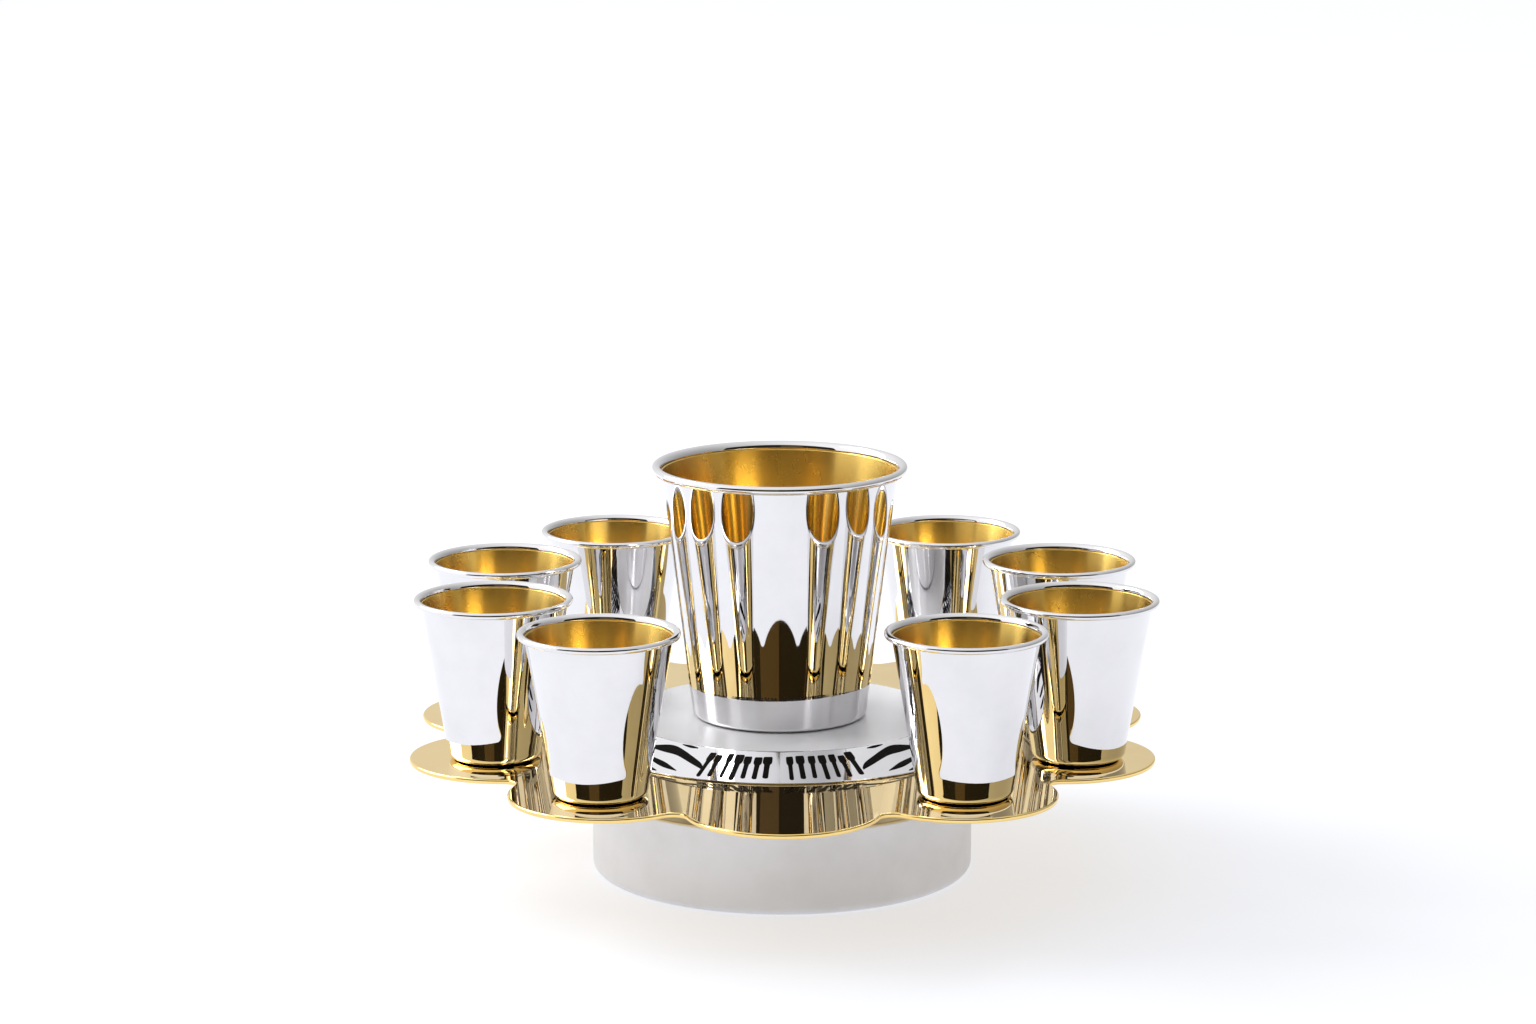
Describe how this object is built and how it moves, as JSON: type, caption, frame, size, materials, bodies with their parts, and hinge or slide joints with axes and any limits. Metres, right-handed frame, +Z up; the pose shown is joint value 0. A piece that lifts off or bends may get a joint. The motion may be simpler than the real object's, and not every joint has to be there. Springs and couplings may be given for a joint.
{
  "type": "kiddush cup set",
  "caption": "Tall silver wine cup on an inscribed saucer, ringed by small gold-lined beakers on a lobed gold tray that stands on a round silver base.",
  "frame": {"origin": "centre of the round base's underside, on the table", "axes": "+Z up, -Y towards the empty front lobe, +X to the viewer's right"},
  "size_m": [0.2271, 0.2354, 0.1269],
  "materials": {
    "satin_silver": "fine satin, silver plated",
    "dark_steel": "plain turned steel, in shadow",
    "mirror_gold": "mirror polished, gold plated",
    "saucer_silver": "mirror polished, with black filled strokes",
    "cup_silver": "mirror polished outside",
    "cup_lining": "satin gold gilding inside the cups",
    "black_enamel": "black filling of the saucer's strokes"
  },
  "bodies": {
    "root": {"round_base": "satin_silver", "tray_hub": "dark_steel", "lobed_tray": "mirror_gold", "inscribed_saucer": "saucer_silver", "kiddush_cup": "cup_silver", "beaker_front_right": "cup_silver", "beaker_right_front": "cup_silver", "beaker_right_back": "cup_silver", "beaker_back_right": "cup_silver", "beaker_back_left": "cup_silver", "beaker_left_back": "cup_silver", "beaker_left_front": "cup_silver", "beaker_front_left": "cup_silver"}
  },
  "joints": []
}
